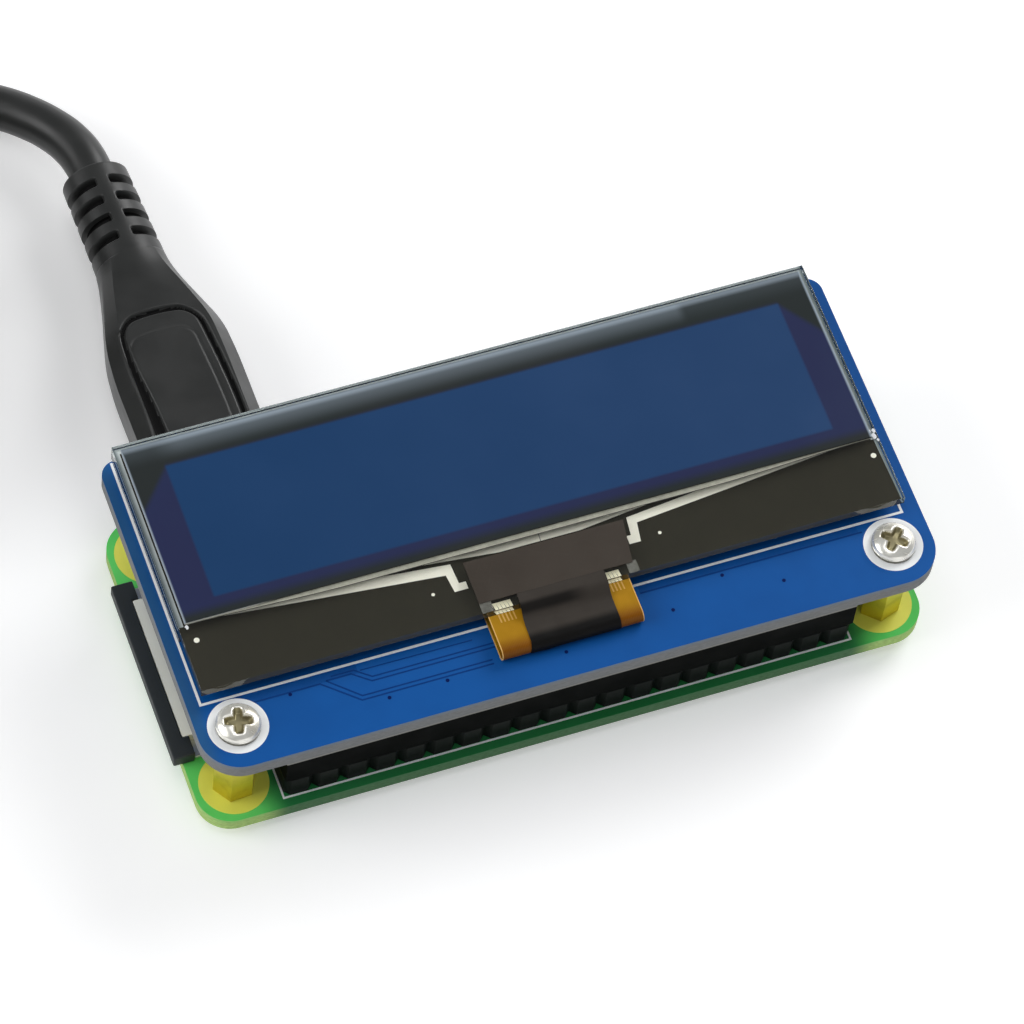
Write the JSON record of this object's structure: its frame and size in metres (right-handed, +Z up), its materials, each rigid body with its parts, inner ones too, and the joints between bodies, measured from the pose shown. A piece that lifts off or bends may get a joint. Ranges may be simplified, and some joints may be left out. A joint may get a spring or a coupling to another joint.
{
  "type": "small display module on a host board",
  "caption": "Small flat display panel on a blue board, stacked by a pin header and spacers over a green host board, with a plugged-in power lead.",
  "frame": {"origin": "centre of the bottom of the module's box, without the lead, on the surface that it lies on", "axes": "+X along the boards, towards the card socket; +Y towards the edge with the power, data and video sockets; +Z up, out of the display's face"},
  "size_m": [0.1215, 0.0833, 0.0205],
  "materials": {
    "green_board": "green solder mask",
    "blue_board": "blue solder mask",
    "black_plastic": "matt black moulding",
    "ivory_plastic": "ivory moulding",
    "chip_plastic": "black chip mould",
    "ceramic": "tan ceramic with tinned ends",
    "sheet_metal": "bright nickel plate",
    "tin": "tin and solder",
    "gold": "gold plated contacts",
    "spacer_brass": "turned brass",
    "screw_nickel": "nickel plated",
    "panel_glass": "clear display glass",
    "polarizer": "dark blue glossy sheet",
    "adhesive": "white foam pad",
    "film": "amber polyimide film",
    "tape": "black protective tape",
    "lead_rubber": "satin black soft plastic",
    "lamp": "clear green lamp body"
  },
  "bodies": {
    "module": {"host_board": "green_board", "host_processor": "chip_plastic", "host_radio_chip": "chip_plastic", "host_crystal": "sheet_metal", "host_inductors": "chip_plastic", "host_capacitors": "ceramic", "host_resistors": "chip_plastic", "host_status_lamp": "lamp", "pin_strip": "black_plastic", "header_pins": "gold", "header_solder": "tin", "camera_connector_body": "ivory_plastic", "camera_connector_contacts": "tin", "camera_connector_anchors": "tin", "video_socket_sleeve": "sheet_metal", "video_socket_insert": "black_plastic", "power_socket_sleeve": "sheet_metal", "power_socket_insert": "black_plastic", "data_socket_sleeve": "sheet_metal", "data_socket_insert": "black_plastic", "card_socket_tray": "black_plastic", "card_socket_cover": "sheet_metal", "bottom_screws": "screw_nickel", "spacers": "spacer_brass", "top_screws": "screw_nickel", "display_board": "blue_board", "board_socket_body": "black_plastic", "board_socket_contacts": "gold", "display_capacitors": "ceramic", "display_resistors": "chip_plastic", "display_regulator": "chip_plastic", "panel_pad": "adhesive", "panel_rear_glass": "panel_glass", "panel_front_glass": "panel_glass", "panel_polarizer": "polarizer", "flex_film": "film", "flex_tape": "tape", "driver_chip": "chip_plastic", "lead_plug_moulding": "lead_rubber", "lead_plug_tip": "sheet_metal", "lead_run": "lead_rubber", "lead_coil": "lead_rubber", "lead_ties": "black_plastic", "lead_tail": "lead_rubber", "lead_far_moulding": "lead_rubber", "lead_far_sleeve": "sheet_metal", "lead_far_insert": "ivory_plastic"},
    "latch": {"camera_connector_latch": "black_plastic"}
  },
  "joints": [
    {"name": "latch_slide", "type": "slide", "parent": "module", "child": "latch", "axis": [-1, 0, 0], "range_m": [0, 0.001]}
  ]
}
